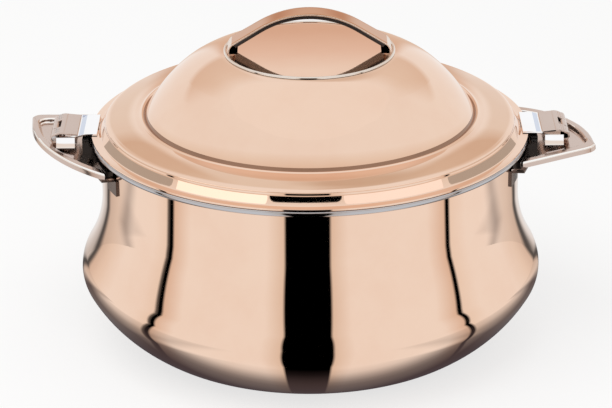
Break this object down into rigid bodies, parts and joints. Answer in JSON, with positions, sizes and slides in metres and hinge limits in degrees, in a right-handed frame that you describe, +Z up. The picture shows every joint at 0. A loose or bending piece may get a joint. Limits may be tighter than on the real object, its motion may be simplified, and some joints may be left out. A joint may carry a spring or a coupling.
{
  "type": "insulated casserole",
  "caption": "Round double-wall insulated casserole with a bellied pot, a domed lift-off lid with a strap grip, and a side handle with a lid clip at each side.",
  "frame": {"origin": "on the floor, under the pot's axis", "axes": "+Z up along the pot's axis, +X through the right-hand handle, -Y towards the front"},
  "size_m": [0.3526, 0.29, 0.2111],
  "materials": {
    "rose_steel": "mirror-polished stainless steel with a rose-gold coating",
    "rim_steel": "polished plain stainless steel",
    "bowl_steel": "food-grade stainless steel, spun satin",
    "clip_chrome": "bright chrome",
    "handle_rose": "polished rose-gold coating, cooler than the body",
    "bracket_black": "black moulding",
    "strap_steel": "stainless strap, welded",
    "screw_steel": "plated steel",
    "liner_black": "black strip under the grip",
    "foam": "rigid polyurethane foam",
    "base_plastic": "dark moulded base",
    "foot_rubber": "soft black ring",
    "seal_silicone": "translucent white silicone"
  },
  "bodies": {
    "pot": {"outer_shell": "rose_steel", "base_cover": "base_plastic", "foot_ring": "foot_rubber", "fill_plug": "base_plastic", "body_insulation": "foam", "inner_bowl": "rim_steel", "handle_plate_right": "handle_rose", "handle_bracket_right": "bracket_black", "mount_strap_right": "strap_steel", "handle_screws_right": "screw_steel", "clip_pin_right": "screw_steel", "clip_hinge_right": "handle_rose", "handle_plate_left": "handle_rose", "handle_bracket_left": "bracket_black", "mount_strap_left": "strap_steel", "handle_screws_left": "screw_steel", "clip_pin_left": "screw_steel", "clip_hinge_left": "handle_rose"},
    "lid": {"lid_shell": "rose_steel", "lid_dish": "rose_steel", "grip_strap": "rose_steel", "grip_liner": "liner_black", "lid_insulation": "foam", "lid_liner": "bowl_steel", "lid_gasket": "seal_silicone"},
    "clip_right": {"clip_hook_right": "clip_chrome", "clip_lever_right": "handle_rose", "clip_rivets_right": "screw_steel"},
    "clip_left": {"clip_hook_left": "clip_chrome", "clip_lever_left": "handle_rose", "clip_rivets_left": "screw_steel"}
  },
  "joints": [
    {"name": "lid_lift", "type": "slide", "parent": "pot", "child": "lid", "axis": [0, 0, 1], "range_m": [0, 0.038]},
    {"name": "clip_right_swing", "type": "hinge", "parent": "pot", "child": "clip_right", "pos_m": [0.1583, 0, 0.1342], "axis": [0, 1, 0], "range_deg": [0, 110]},
    {"name": "clip_left_swing", "type": "hinge", "parent": "pot", "child": "clip_left", "pos_m": [-0.1583, 0, 0.1342], "axis": [0, -1, 0], "range_deg": [0, 110]}
  ],
  "couplings": [
    {"joint": "clip_right_swing", "follows": "lid_lift", "rad_per_m": 50},
    {"joint": "clip_left_swing", "follows": "lid_lift", "rad_per_m": 50}
  ]
}
